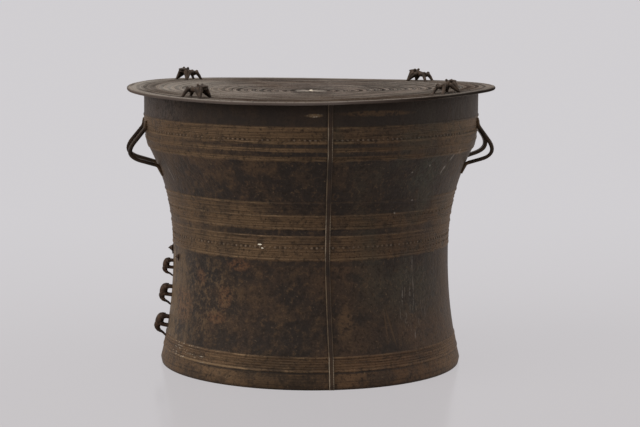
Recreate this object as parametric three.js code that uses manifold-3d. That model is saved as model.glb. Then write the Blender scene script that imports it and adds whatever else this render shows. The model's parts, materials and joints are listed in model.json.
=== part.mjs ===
// Cast bronze rain drum: a flat head plate on a waisted wall that is open at the bottom.
// The wall is two halves that meet under raised seam strips at the front and the back.
// Two strap handles stand on each side, four frogs sit on the head, and three elephants
// and two snails walk down the left side.
// Millimetres, +Z up, origin on the floor at the drum's axis, front seam at -Y.
import * as THREE from 'three';
import { mergeVertices } from 'three/addons/utils/BufferGeometryUtils.js';
import Module from 'manifold-3d';

const wasm = await Module();
wasm.setup();

// Clearance between neighbouring pieces
const FIT = 0.3;

// Corners nearer than this are one corner
const MERGE = 1e-4;

// Head plate
const HEIGHT = 472; // floor to the head's top face
const HEAD_RADIUS = 315;
const HEAD_THICKNESS = 4.5;
const HEAD_OVERHANG = 29; // the rim stands this far out from the shoulder
const HEAD_SEGMENTS = 60;
const RIM_ROUND = 1.2;
const HEAD_RINGS = 6; // raised rings between the star and the frogs
const HEAD_RING_WIDTH = 6;
const HEAD_RING_RELIEF = 1.2;
const STAR_RAYS = 12;
const STAR_RADIUS = 40;
const STAR_CORE_RADIUS = 17;
const STAR_RELIEF = 1.4;

// Wall
const WALL = 3;
const FOOT_RADIUS = 258.5;
const FOOT_TOP = 17; // height where the rounded foot edge ends
const FOOT_ROUND = 4.5; // how far the foot edge draws in at the floor
const WAIST_RADIUS = 237.5;
const WAIST_HEIGHT = 198;
const SHOULDER_DEPTH = 84.5; // head's underside down to the turn below the shoulder
const TURN_STEP = 3; // the turn lies this far inside the shoulder
const SHOULDER_BLEND = 29; // height over which the wall comes upright above the turn
const FLARE_POWER = 2.2;
const HALF_STEPS = 20; // facets round each half
const FLARE_STEPS = 6; // facets up each flare

// Cords: raised lines round the wall
const CORD_WIDTH = 4.4;
const CORD_RELIEF = 1.2;
const FOOT_CORDS = [30, 51]; // heights above the floor
const WAIST_CORDS = [210, 247, 261, 281]; // heights above the floor
const SHOULDER_CORDS = [40, 64, 92]; // depths below the head's underside

// Seam strips
const STRIP_WIDTH = 8.5;
const STRIP_THICKNESS = 1.2;
const STRIP_RIDGE_WIDTH = 1.9;
const STRIP_RIDGE_RELIEF = 1.2;
const STRIP_FADE = THREE.MathUtils.degToRad(1); // cords sink to nothing over this turn beside a strip

// Strap handles
const HANDLE_PAIRS = {
  right: { front: -18, rear: 4, drop: 0 }, // bearings in degrees from +X
  left: { front: 188, rear: 174, drop: 4.5 }, // this pair sits lower on the wall
};
const STRAP_WIDTH = 11;
const STRAP_THICKNESS = 6.8;
const STRAP_CHAMFER = 0.8;
const TAB_THICKNESS = 2.6; // the strap thins to this at the ends of its tabs
const TAB_UP = 11;
const TAB_DOWN = 17;
const HANDLE_TOP_DEPTH = 54; // head's underside down to the upper root
const HANDLE_BOTTOM_DEPTH = 119; // head's underside down to the lower root
const HANDLE_CORNER_DEPTH = 101.5; // head's underside down to where the two arms would cross
const HANDLE_CORNER_REACH = 40.5; // that crossing stands this far out from the shoulder
const HANDLE_BEND = 31; // length of each arm taken up by the bend
const BEND_STEPS = 6;

// Frogs
const FROG_BEARINGS = { left_rear: 134, left_front: 223.7, right_front: 313, right_rear: 39.8 };
const FROG_INSET = 28; // rim to the middle of a frog
const FROG_LENGTH = 48;
const FROG_WIDTH = 30;
const FROG_HEIGHT = 21.5;
const FROG_BELLY = 8.5; // height of the arches between the legs
const FROG_EYE_RADIUS = 2.5;
const FROG_HIP_RADIUS = 3.2;

// Elephants and snails on the left side
const TRAIL_BEARING = 178.5;
const ELEPHANTS = {
  upper: { top: 180, length: 33.5 },
  middle: { top: 135, length: 39 },
  lower: { top: 82.5, length: 41.5 },
};
const SNAILS = {
  upper: { bearing: 178.5, top: 205, length: 18 },
  side: { bearing: 193.5, top: 197, length: 13 },
};
const SINK = 3; // figures start this deep in the wall and are trimmed to it

// Worked out from the sizes above
const HEAD_UNDERSIDE = HEIGHT - HEAD_THICKNESS;
const WALL_TOP = HEAD_UNDERSIDE - FIT;
const SHOULDER_RADIUS = HEAD_RADIUS - HEAD_OVERHANG;
const TURN_RADIUS = SHOULDER_RADIUS - TURN_STEP;
const TURN_HEIGHT = HEAD_UNDERSIDE - SHOULDER_DEPTH;
const NARROWEST = Math.min(WAIST_RADIUS, TURN_RADIUS, FOOT_RADIUS - FOOT_ROUND);
const STRIP_HALF_TURN = (STRIP_WIDTH / 2 + FIT) / NARROWEST;

function bronze(color, roughness, metalness) {
  return new THREE.MeshStandardMaterial({ color, roughness, metalness });
}

const HEAD_BRONZE = bronze(0x5d534c, 0.5, 0.8);
const WALL_BRONZE = bronze(0x392f28, 0.55, 0.8);
const SEAM_BRONZE = bronze(0x473c31, 0.5, 0.8);
const STRAP_BRONZE = bronze(0x2a2420, 0.5, 0.8);
const FIGURE_BRONZE = bronze(0x28211d, 0.55, 0.8);

// Closed solid of a closed geometry, with shared corners merged and empty triangles dropped
function solidOf(geometry) {
  const bare = geometry.clone();
  bare.deleteAttribute('normal');
  bare.deleteAttribute('uv');
  const merged = mergeVertices(bare, MERGE);
  const index = merged.index.array;
  const triangles = [];
  for (let i = 0; i < index.length; i += 3) {
    const [a, b, c] = index.slice(i, i + 3);
    if (a !== b && b !== c && c !== a) triangles.push(a, b, c);
  }
  return new wasm.Manifold(new wasm.Mesh({
    numProp: 3,
    vertProperties: new Float32Array(merged.attributes.position.array),
    triVerts: new Uint32Array(triangles),
  }));
}

function geometryOf(solid) {
  const mesh = solid.getMesh();
  const geometry = new THREE.BufferGeometry();
  geometry.setAttribute('position', new THREE.BufferAttribute(mesh.vertProperties, 3));
  geometry.setIndex(new THREE.BufferAttribute(mesh.triVerts, 1));
  geometry.computeVertexNormals();
  return geometry;
}

// Skin over rings of matching points, with flat ends. The outline is the end face's shape,
// counter-clockwise, seen against the direction in which the rings run.
function loft(rings, outline) {
  const count = outline.length;
  const triangles = [];
  for (let ring = 0; ring < rings.length - 1; ring++) {
    for (let i = 0; i < count; i++) {
      const a = ring * count + i;
      const b = ring * count + ((i + 1) % count);
      triangles.push(a, b, b + count, a, b + count, a + count);
    }
  }
  const last = (rings.length - 1) * count;
  for (const [a, b, c] of THREE.ShapeUtils.triangulateShape(outline, [])) {
    triangles.push(a, c, b, last + a, last + b, last + c);
  }
  const geometry = new THREE.BufferGeometry().setFromPoints(rings.flat());
  geometry.setIndex(triangles);
  geometry.computeVertexNormals();
  return geometry;
}

function extrude(shape, depth) {
  return new THREE.ExtrudeGeometry(shape, { depth, bevelEnabled: false, curveSegments: 4 });
}

// Plate cut to an outline in the XZ plane, as wide as given along Y and centred on it
function sideways(shape, width) {
  return extrude(shape, width).translate(0, 0, -width / 2).rotateX(Math.PI / 2);
}

// Plate cut to an outline in the YZ plane, running from one X to another
function lengthways(shape, from, to) {
  return extrude(shape, to - from).rotateX(Math.PI / 2).rotateZ(Math.PI / 2).translate(from, 0, 0);
}

function ball(radius, x, y, z) {
  return new THREE.SphereGeometry(radius, 6, 5).translate(x, y, z);
}

// Outer radius of the plain wall at a height
function radiusAt(z) {
  if (z < FOOT_TOP) {
    return FOOT_RADIUS - FOOT_ROUND * (1 - z / FOOT_TOP) ** 3;
  }
  if (z < WAIST_HEIGHT) {
    const share = (WAIST_HEIGHT - z) / (WAIST_HEIGHT - FOOT_TOP);
    return WAIST_RADIUS + (FOOT_RADIUS - WAIST_RADIUS) * share ** FLARE_POWER;
  }
  if (z < TURN_HEIGHT) {
    const share = (z - WAIST_HEIGHT) / (TURN_HEIGHT - WAIST_HEIGHT);
    return WAIST_RADIUS + (TURN_RADIUS - WAIST_RADIUS) * share ** FLARE_POWER;
  }
  return SHOULDER_RADIUS - TURN_STEP * Math.max(0, 1 - (z - TURN_HEIGHT) / SHOULDER_BLEND);
}

// Heights at which the plain wall bends, from the floor up
function wallHeights() {
  const heights = [0, FOOT_TOP * 0.25, FOOT_TOP * 0.6];
  for (let i = 0; i < FLARE_STEPS; i++) {
    heights.push(THREE.MathUtils.lerp(FOOT_TOP, WAIST_HEIGHT, i / FLARE_STEPS));
  }
  for (let i = 0; i < FLARE_STEPS; i++) {
    heights.push(THREE.MathUtils.lerp(WAIST_HEIGHT, TURN_HEIGHT, i / FLARE_STEPS));
  }
  return [...heights, TURN_HEIGHT, TURN_HEIGHT + SHOULDER_BLEND, WALL_TOP];
}

// Stations up the outside: the plain heights, with each cord's edges and crest set in
function wallStations() {
  const shoulderCords = SHOULDER_CORDS.map((depth) => HEAD_UNDERSIDE - depth);
  const cords = [...FOOT_CORDS, ...WAIST_CORDS, ...shoulderCords];
  const plain = wallHeights().filter((z) => cords.every((cord) => Math.abs(z - cord) > CORD_WIDTH));
  const stations = plain.map((z) => ({ z, relief: 0 }));
  for (const cord of cords) {
    stations.push({ z: cord - CORD_WIDTH / 2, relief: 0 });
    stations.push({ z: cord, relief: CORD_RELIEF });
    stations.push({ z: cord + CORD_WIDTH / 2, relief: 0 });
  }
  return stations.sort((a, b) => a.z - b.z);
}

// Upright section of the wall as (height, radius) points: up the inside, then down the outside
function wallSection(relief, grow, depth) {
  const inside = wallHeights().map((z) => new THREE.Vector2(z, radiusAt(z) - depth));
  const outside = wallStations().map(
    (station) => new THREE.Vector2(station.z, radiusAt(station.z) + relief * station.relief + grow),
  );
  return [...inside, ...outside.reverse()];
}

// One half of the wall, swept from seam to seam. The cords stop beside the seam strips.
function wallHalf(side, grow = 0, depth = WALL) {
  const start = side === 'right' ? -Math.PI / 2 : Math.PI / 2;
  const margin = STRIP_HALF_TURN + STRIP_FADE;
  const turns = [0, STRIP_HALF_TURN];
  for (let i = 0; i <= HALF_STEPS; i++) {
    turns.push(THREE.MathUtils.lerp(margin, Math.PI - margin, i / HALF_STEPS));
  }
  turns.push(Math.PI - STRIP_HALF_TURN, Math.PI);
  const plain = wallSection(0, grow, depth);
  const corded = wallSection(1, grow, depth);
  const rings = turns.map((turn, i) => {
    const section = i > 1 && i < turns.length - 2 ? corded : plain;
    const angle = start + turn;
    return section.map(({ x: z, y: r }) => new THREE.Vector3(r * Math.cos(angle), r * Math.sin(angle), z));
  });
  const apart = side === 'right' ? FIT / 2 : -FIT / 2;
  return loft(rings, plain).translate(apart, 0, 0);
}

// Each half again, grown by the clearance and deep enough to hold the roots of what is cast onto it
const WALL_CUTTERS = {
  right: solidOf(wallHalf('right', FIT, WALL + 2 * SINK)),
  left: solidOf(wallHalf('left', FIT, WALL + 2 * SINK)),
};

// Cuts what is cast onto the wall back to the wall's face
function trimToWall(solid, side) {
  return geometryOf(solid.subtract(WALL_CUTTERS[side]));
}

function headPlate() {
  const frogZone = HEAD_RADIUS - FROG_INSET - FROG_WIDTH / 2 - HEAD_RING_WIDTH;
  const pitch = (frogZone - STAR_RADIUS) / HEAD_RINGS;
  const profile = [
    new THREE.Vector2(0, HEAD_UNDERSIDE),
    new THREE.Vector2(HEAD_RADIUS - RIM_ROUND, HEAD_UNDERSIDE),
    new THREE.Vector2(HEAD_RADIUS, HEAD_UNDERSIDE + RIM_ROUND),
    new THREE.Vector2(HEAD_RADIUS, HEIGHT - RIM_ROUND),
    new THREE.Vector2(HEAD_RADIUS - RIM_ROUND, HEIGHT),
  ];
  for (let ring = HEAD_RINGS; ring >= 1; ring--) {
    const crest = STAR_RADIUS + ring * pitch;
    profile.push(new THREE.Vector2(crest + HEAD_RING_WIDTH / 2, HEIGHT));
    profile.push(new THREE.Vector2(crest, HEIGHT + HEAD_RING_RELIEF));
    profile.push(new THREE.Vector2(crest - HEAD_RING_WIDTH / 2, HEIGHT));
  }
  profile.push(new THREE.Vector2(0, HEIGHT));
  const plate = new THREE.LatheGeometry(profile, HEAD_SEGMENTS).rotateX(Math.PI / 2);

  const star = new THREE.Shape();
  for (let i = 0; i < 2 * STAR_RAYS; i++) {
    const radius = i % 2 ? STAR_CORE_RADIUS : STAR_RADIUS;
    const angle = (i * Math.PI) / STAR_RAYS;
    const point = [radius * Math.cos(angle), radius * Math.sin(angle)];
    if (i === 0) star.moveTo(...point);
    else star.lineTo(...point);
  }
  const starDepth = STAR_RELIEF + HEAD_THICKNESS / 2;
  const raised = extrude(star, starDepth).translate(0, 0, HEIGHT + STAR_RELIEF - starDepth);
  return geometryOf(solidOf(plate).add(solidOf(raised)));
}

// Shallow channel with a ridge along each edge, bent to the plain wall from foot to head
function seamStrip(direction) {
  const half = STRIP_WIDTH / 2;
  const groove = half - STRIP_RIDGE_WIDTH;
  const crest = STRIP_THICKNESS + STRIP_RIDGE_RELIEF;
  const outline = [
    [-half, 0], [half, 0], [half, crest], [groove, crest],
    [groove, STRIP_THICKNESS], [-groove, STRIP_THICKNESS], [-groove, crest], [-half, crest],
  ].map(([across, out]) => new THREE.Vector2(across, out));
  const heights = wallHeights();
  heights[0] = FIT;
  heights[heights.length - 1] = WALL_TOP - FIT;
  const rings = heights.map((z) => {
    const bed = radiusAt(z) + FIT;
    return outline.map(({ x, y }) => new THREE.Vector3(direction * x, direction * (bed + y), z));
  });
  return loft(rings, outline);
}

// Strap whose line lies in a plane through the drum's axis, at a bearing in degrees
function strapHandle(bearing, drop, side) {
  const onWall = (z) => new THREE.Vector2(radiusAt(z) + TAB_THICKNESS / 2, z);
  const level = HEAD_UNDERSIDE - drop;
  const top = level - HANDLE_TOP_DEPTH;
  const bottom = level - HANDLE_BOTTOM_DEPTH;
  const corner = new THREE.Vector2(SHOULDER_RADIUS + HANDLE_CORNER_REACH, level - HANDLE_CORNER_DEPTH);
  const upperRoot = onWall(top);
  const lowerRoot = onWall(bottom);
  const bend = new THREE.QuadraticBezierCurve(
    upperRoot.clone().sub(corner).setLength(HANDLE_BEND).add(corner),
    corner,
    lowerRoot.clone().sub(corner).setLength(HANDLE_BEND).add(corner),
  );
  const line = [
    onWall(top + TAB_UP), upperRoot, ...bend.getPoints(BEND_STEPS), lowerRoot, onWall(bottom - TAB_DOWN),
  ];
  const section = (thickness) => {
    const [t, w, c] = [thickness / 2, STRAP_WIDTH / 2, STRAP_CHAMFER];
    return [
      [t, c - w], [t, w - c], [t - c, w], [c - t, w], [-t, w - c], [-t, c - w], [c - t, -w], [t - c, -w],
    ].map(([out, across]) => new THREE.Vector2(out, across));
  };
  const rings = line.map((point, i) => {
    const ahead = line[Math.min(i + 1, line.length - 1)];
    const behind = line[Math.max(i - 1, 0)];
    const along = ahead.clone().sub(behind).normalize();
    const atEnd = i === 0 || i === line.length - 1;
    return section(atEnd ? TAB_THICKNESS : STRAP_THICKNESS).map(({ x: out, y: across }) => new THREE.Vector3(
      point.x - out * along.y, -across, point.y + out * along.x,
    ));
  });
  const strap = loft(rings, section(TAB_THICKNESS)).rotateZ(THREE.MathUtils.degToRad(bearing));
  return trimToWall(solidOf(strap), side);
}

// Round-topped opening under a figure, starting a little below its ground
function archway(from, to, height) {
  const ground = -height / 4;
  const handle = 1.4 * height; // puts the curve's top at the height
  const arch = new THREE.Shape();
  arch.moveTo(from, ground);
  arch.lineTo(to, ground);
  arch.bezierCurveTo(to, handle, from, handle, from, ground);
  return arch;
}

// Frog facing +X: high head, low rump, four legs with arches between them
function frog() {
  const [l, w, h] = [FROG_LENGTH / 2, FROG_WIDTH / 2, FROG_HEIGHT];
  const side = new THREE.Shape();
  side.moveTo(-l, 0);
  side.quadraticCurveTo(-0.95 * l, 0.6 * h, -0.62 * l, 0.68 * h);
  side.quadraticCurveTo(-0.3 * l, 0.52 * h, -0.1 * l, 0.82 * h);
  side.quadraticCurveTo(0.15 * l, h, 0.4 * l, h);
  side.lineTo(0.78 * l, 0.94 * h);
  side.lineTo(0.7 * l, 0.78 * h);
  side.lineTo(l, 0);
  const front = new THREE.Shape();
  front.moveTo(-w, 0);
  front.quadraticCurveTo(-0.62 * w, 0.55 * h, -0.45 * w, h);
  front.lineTo(0.45 * w, h);
  front.quadraticCurveTo(0.62 * w, 0.55 * h, w, 0);
  const between = archway(-0.62 * w, 0.62 * w, FROG_BELLY);
  const along = archway(-0.68 * l, 0.72 * l, FROG_BELLY);
  let body = solidOf(sideways(side, FROG_WIDTH)).intersect(solidOf(lengthways(front, -l, l)));
  body = body.subtract(solidOf(lengthways(between, -l - 1, l + 1)));
  body = body.subtract(solidOf(sideways(along, FROG_WIDTH + 2)));
  for (const way of [-1, 1]) {
    body = body.add(solidOf(ball(FROG_EYE_RADIUS, 0.3 * l, 0.36 * way * w, 0.98 * h)));
    body = body.add(solidOf(ball(FROG_HIP_RADIUS, -0.62 * l, 0.46 * way * w, 0.64 * h)));
  }
  return geometryOf(body);
}

// Turns a figure's own frame (X ahead, Z up) so that it walks down the wall at a bearing
function walkDown(geometry, bearing, top, length) {
  const start = new THREE.Vector3(radiusAt(top), 0, top);
  const ahead = new THREE.Vector3(radiusAt(top - length), 0, top - length).sub(start).normalize();
  const across = new THREE.Vector3(0, 1, 0);
  const up = ahead.clone().cross(across);
  const place = new THREE.Matrix4().makeBasis(ahead, across, up).setPosition(start);
  return geometry.applyMatrix4(place).rotateZ(THREE.MathUtils.degToRad(bearing));
}

// Elephant outlines, in shares of its length: 1 long, 0.6 high
function elephantSide(length) {
  const low = -SINK / length;
  const side = new THREE.Shape();
  side.moveTo(0.11, low);
  side.lineTo(0.215, low);
  side.bezierCurveTo(0.17, 0.29, 0.42, 0.29, 0.43, low);
  side.lineTo(0.56, low);
  side.bezierCurveTo(0.52, 0.36, 0.72, 0.38, 0.86, low);
  side.lineTo(1, low);
  side.quadraticCurveTo(0.87, 0.2, 0.72, 0.46);
  side.quadraticCurveTo(0.62, 0.62, 0.5, 0.58);
  side.bezierCurveTo(0.1, 0.57, -0.08, 0.3, 0.11, low);
  return side;
}

function elephantPlan() {
  const plan = new THREE.Shape();
  plan.moveTo(0, 0.16);
  plan.lineTo(0, -0.16);
  plan.bezierCurveTo(0.2, -0.24, 0.5, -0.24, 0.6, -0.17);
  plan.quadraticCurveTo(0.8, -0.15, 0.86, -0.07);
  plan.lineTo(1.02, -0.06);
  plan.lineTo(1.02, 0.06);
  plan.lineTo(0.86, 0.07);
  plan.quadraticCurveTo(0.8, 0.15, 0.6, 0.17);
  plan.bezierCurveTo(0.5, 0.24, 0.2, 0.24, 0, 0.16);
  return plan;
}

function elephant({ top, length }) {
  const sink = SINK / length;
  const side = solidOf(sideways(elephantSide(length), 1));
  const plan = solidOf(extrude(elephantPlan(), 1 + 2 * sink).translate(0, 0, -2 * sink));
  const legGap = archway(-0.09, 0.09, 0.22);
  const tunnel = solidOf(lengthways(legGap, -0.1, 0.63));
  const body = geometryOf(side.intersect(plan).subtract(tunnel)).scale(length, length, length);
  return trimToWall(solidOf(walkDown(body, TRAIL_BEARING, top, length)), 'left');
}

// Snail, in shares of its length: a long foot under a pointed, coiled house
function snail({ bearing, top, length }) {
  const foot = new THREE.SphereGeometry(1, 10, 6).scale(length / 2, length * 0.17, length * 0.17);
  const house = new THREE.LatheGeometry(
    [[0, -0.2], [0.2, -0.1], [0.24, 0.06], [0.15, 0.16], [0.17, 0.22], [0.07, 0.34], [0, 0.42]].map(
      ([radius, along]) => new THREE.Vector2(radius * length, along * length),
    ),
    10,
  ).rotateX(Math.PI / 2);
  const body = solidOf(foot.translate(length / 2, 0, 0)).add(solidOf(house.translate(length * 0.42, 0, 0)));
  return trimToWall(solidOf(walkDown(geometryOf(body), bearing, top, length)), 'left');
}

const drum = new THREE.Group();

function place(name, geometry, material) {
  const mesh = new THREE.Mesh(geometry, material);
  mesh.name = name;
  drum.add(mesh);
  return mesh;
}

place('head_plate', headPlate(), HEAD_BRONZE);
place('shell_left', wallHalf('left'), WALL_BRONZE);
place('shell_right', wallHalf('right'), WALL_BRONZE);
place('seam_strip_front', seamStrip(-1), SEAM_BRONZE);
place('seam_strip_rear', seamStrip(1), SEAM_BRONZE);

for (const [side, { front, rear, drop }] of Object.entries(HANDLE_PAIRS)) {
  place(`handle_${side}_front`, strapHandle(front, drop, side), STRAP_BRONZE);
  place(`handle_${side}_rear`, strapHandle(rear, drop, side), STRAP_BRONZE);
}

for (const [corner, bearing] of Object.entries(FROG_BEARINGS)) {
  const seat = new THREE.Group();
  seat.rotation.z = THREE.MathUtils.degToRad(bearing);
  const mesh = place(`frog_${corner}`, frog(), FIGURE_BRONZE);
  mesh.position.set(HEAD_RADIUS - FROG_INSET, 0, HEIGHT + FIT);
  mesh.rotation.z = Math.PI / 2;
  seat.add(mesh);
  drum.add(seat);
}

for (const [level, size] of Object.entries(ELEPHANTS)) {
  place(`elephant_${level}`, elephant(size), FIGURE_BRONZE);
}

for (const [spot, size] of Object.entries(SNAILS)) {
  place(`snail_${spot}`, snail(size), FIGURE_BRONZE);
}

export default drum;
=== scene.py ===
"""Looks of a cast bronze rain drum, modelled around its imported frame.

A flat head plate lies on a waisted wall of two halves. Raised strips cover the two seams, two
strap handles stand on each side, four frogs sit on the head, and elephants and snails walk down the
left side. Metres, +Z up, origin on the floor at the drum's axis, front seam at -Y.
"""
import json
import math

import bmesh
import bpy
import numpy as np
from mathutils import Matrix, Vector

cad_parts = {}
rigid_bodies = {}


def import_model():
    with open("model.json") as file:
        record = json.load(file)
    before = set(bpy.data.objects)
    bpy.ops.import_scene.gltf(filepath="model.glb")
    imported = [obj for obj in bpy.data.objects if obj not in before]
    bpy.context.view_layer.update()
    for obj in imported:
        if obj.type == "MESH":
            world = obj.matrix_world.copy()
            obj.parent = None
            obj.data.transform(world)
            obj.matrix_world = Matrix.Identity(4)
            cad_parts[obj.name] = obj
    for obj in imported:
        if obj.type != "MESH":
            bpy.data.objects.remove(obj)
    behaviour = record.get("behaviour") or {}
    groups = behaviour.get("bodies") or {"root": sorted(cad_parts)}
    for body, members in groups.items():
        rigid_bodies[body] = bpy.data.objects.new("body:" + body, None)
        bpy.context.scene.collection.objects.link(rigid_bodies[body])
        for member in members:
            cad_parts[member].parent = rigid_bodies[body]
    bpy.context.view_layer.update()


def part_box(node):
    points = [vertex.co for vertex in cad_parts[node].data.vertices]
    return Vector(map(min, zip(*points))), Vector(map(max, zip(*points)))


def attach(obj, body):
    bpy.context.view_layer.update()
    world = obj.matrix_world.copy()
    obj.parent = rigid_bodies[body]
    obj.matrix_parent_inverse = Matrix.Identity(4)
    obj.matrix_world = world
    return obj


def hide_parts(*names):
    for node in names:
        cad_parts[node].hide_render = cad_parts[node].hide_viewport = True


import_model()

bl_info = {
    "name": "Bronze Rain Drum",
    "version": (1, 0, 0),
    "blender": (4, 5, 0),
    "location": "View3D > Sidebar > Rain Drum",
    "description": "Models a cast bronze rain drum and its figures around a packed frame",
    "category": "Add Mesh",
}

BODY = "root"
SEED_SIZE = 0.01
TOUCHING = 1e-6

# Sizes that come from the frame
HEAD_LOW, HEAD_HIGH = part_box("head_plate")
STRIP_LOW, STRIP_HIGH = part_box("seam_strip_front")

# Wall
FOOT_TOP = 0.006
FOOT_ROUND = 0.0022
WAIST_HEIGHT = 0.198
TURN_HEIGHT = 0.383
TURN_STEP = 0.003
SHOULDER_BLEND = 0.029
FLARE_POWER = 2.2
FIT = 0.0003
WALL_STEPS = 120
WALL_RISE = 0.008
INSIDE_RISE = 0.018
CUT_REACH = 1e-5
CAST_DEPTH = 0.0005
CAST_SPREAD = 0.07

# Raised lines round the wall, as heights
BOLD_LINES = (0.030, 0.051, 0.210, 0.247, 0.261, 0.281, 0.302, 0.3755, 0.4035, 0.4275)
BOLD_WIDTH = 0.0042
BOLD_RELIEF = 0.0012
FINE_LINES = (
    0.0345, 0.0385, 0.0425, 0.0465, 0.2145, 0.2238, 0.2365, 0.2410, 0.2655, 0.2695, 0.2738,
    0.2885, 0.2945, 0.3790, 0.3898, 0.3926, 0.4126, 0.4156, 0.4215,
)
FINE_WIDTH = 0.0022
FINE_RELIEF = 0.0007
LINE_CLEARANCE = 0.6
LINE_SHAPE = ((-0.5, 0.0), (-0.28, 0.8), (0.0, 1.0), (0.28, 0.8), (0.5, 0.0))

# Zones of the wall, as lowest and highest heights
WORN_BANDS = ((-0.005, 0.053), (0.208, 0.283), (0.373, 0.429))
SIDE_BAND = (0.2835, 0.3045)
DARK_BANDS = (
    (0.0255, 0.0285), (0.1980, 0.2065), (0.2490, 0.2585), (0.3815, 0.3885), (0.3955, 0.4010),
)

# Rows of bosses round the wall: height, pitch, half width, half height
BOSS_ROWS = (
    (0.4080, 0.0085, 0.0027, 0.0019),
    (0.2770, 0.0120, 0.0016, 0.0017),
    (0.2295, 0.0085, 0.0028, 0.0024),
    (0.2192, 0.0113, 0.0014, 0.0019),
)
BOSS_RELIEF = 0.0010
BOSS_GROUNDS = ((0.2272, 0.2318), (0.4062, 0.4098))

# Marks on the wall: bearing, height, half width, half height, lean
PALE_SCRATCH = (264.3, 0.447, 0.0145, 0.0030, 0.0)
PALE_LINES = (
    (200.4, 0.3374, 0.0014, 0.0165, 0.368), (318.0, 0.350, 0.0030, 0.009, -0.5),
    (321.0, 0.369, 0.0028, 0.006, -0.5), (324.5, 0.377, 0.0036, 0.004, -0.5),
)
GREY_SPECKS = (
    (309.0, 0.359, 0.0018, 0.0018, 0.0), (301.3, 0.350, 0.0015, 0.0015, 0.0),
    (304.5, 0.302, 0.0017, 0.0017, 0.0), (297.0, 0.283, 0.0015, 0.0015, 0.0),
)
WHITE_SPECKS = ((243.3, 0.2334, 0.0036, 0.0012, 0.0), (244.3, 0.2276, 0.0022, 0.0010, 0.0))
OLIVE_PATCHES = (
    (285.5, 0.4495, 0.064, 0.0050, 0.0), (277.1, 0.106, 0.014, 0.028, 0.0),
    (187.0, 0.352, 0.030, 0.036, 0.0),
)
GREEN_PATCH = (312.0, 0.352, 0.050, 0.030, 0.0)
PALE_RUNS = (308.5, 0.138, 0.036, 0.085, 0.0)
OLIVE_DRIPS = ((296.3, 0.093, 0.0022, 0.034, 0.28), (294.0, 0.097, 0.0016, 0.026, 0.11))
DARK_FOOT_PATCH = (254.0, 0.026, 0.095, 0.036, 0.0)
WARM_PATCH = (214.0, 0.135, 0.080, 0.072, 0.0)
RUST_BLOOMS = (
    (214.0, 0.169, 0.012, 0.015, 0.0), (227.7, 0.141, 0.015, 0.022, 0.0),
    (201.3, 0.115, 0.032, 0.032, 0.0), (234.1, 0.197, 0.024, 0.011, 0.0),
    (223.7, 0.106, 0.022, 0.011, 0.0),
)

# Head
HEAD_STEPS = 200
HEAD_STEP = 0.006
UNDERSIDE_STEP = 0.03
HEAD_DEPTH = 0.0006
HEAD_SPREAD = 0.12
RIM_ROUND = 0.0012
RIM_WEAR = 0.3
STAR_RAYS = 12
STAR_RADIUS = 0.031
STAR_CORE = 0.010
STAR_BOSS = 0.0035
STAR_RELIEF = 0.0014
STAR_TAPER = 0.88
STAR_STUD = (0.004, 0.0025)
STAR_STUD_AT = 0.8
RINGS = 17
RING_INNERMOST = 0.040
RING_OUTERMOST = 0.2635
RING_WIDTH = 0.0024
RING_RELIEF = 0.0009
RIM_RINGS = (0.2800, 0.2885, 0.3105)
RING_PAIR = 0.6
MOTIF_PITCH = 0.008
DASH = (0.0028, 0.0011)
DASHES_PER_MOTIF = 1.5
LOZENGE = (0.0026, 0.0036)
LOZENGE_TOP = 0.35
CIRCLE_RADIUS = 0.0024
CIRCLE_THICKNESS = 0.0006
MOTIF_RELIEF = 0.0008

# The settled top is dished, lower on its line from front to back, higher at its sides, and out of true
SETTLE_FROM = 0.40
CAGE_POINTS = 5
MIDDLE_SAG = 0.0015
DISH = 0.0045
SIDE_RISE = 0.0040
TWIST = 0.0057
TILT = 0.0011

# Drift of the two seams to the right of a straight line, at some heights
DRIFT_HEIGHTS = (0.05, 0.20, 0.29, 0.40)
DRIFTS = (0.0052, 0.0, 0.0, -0.0022)

# Seam strips
STRIP_ROOT = 0.0006
STRIP_RISE = 0.006
RIDGE_SHARE = 0.23
RIDGE_OUTLINE = ((0.0, 0.6), (0.18, 0.92), (0.45, 1.0), (0.75, 0.9), (1.0, 0.5))
BEAD_PITCH = 0.00275
BEAD_RADIUS = 0.0010
BEAD_LEVEL = 0.8
DULL_SIDE = 0.42

# Strap handles: bearing, drop below the usual height, and how far in the corner is pressed
HANDLES = {
    "right_front": (-18, 0.0, 0.0023), "right_rear": (4, 0.0, 0.0045),
    "left_front": (188, 0.0045, 0.0), "left_rear": (174, 0.0045, 0.0),
}
HANDLE_TOP = 0.4135
HANDLE_BOTTOM = 0.3485
HANDLE_CORNER = Vector((0.3265, 0.0, 0.3660))
HANDLE_BEND = 0.031
HANDLE_STEPS = 10
ROOT_BEND = 0.006
ROOT_STEPS = 4
TAB_UP = 0.011
TAB_DOWN = 0.017
TAB_LIFT = 0.0013
TAB_TIP = 0.55
TAB_LEVEL = 0.335
TAB_SLOPE = 0.27
TAB_REACH = (0.267, 0.274)
# Grey along the middle of a strap: wear and a painted highlight.
STRAP_WEAR_AND_HIGHLIGHT = 1.3
STRAP_PALE_SHARE = 0.6
PLAIT_PITCH = 0.0030
PLAIT_BEAD = (0.0019, 0.0009, 0.0008)
PLAIT_SLANT = 40

# Outline of a strap in shares of its half width and half thickness. The plait lies in the groove.
GROOVE = (0.44, 0.55)
STRAP_OUTLINE = (
    (-1.0, -0.5), (-0.8, -1.0), (0.8, -1.0), (1.0, -0.5), (1.0, 0.5), (0.84, 1.0), (0.62, 1.0),
    GROOVE, (-GROOVE[0], GROOVE[1]), (-0.62, 1.0), (-0.84, 1.0), (-1.0, 0.5),
)

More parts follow.
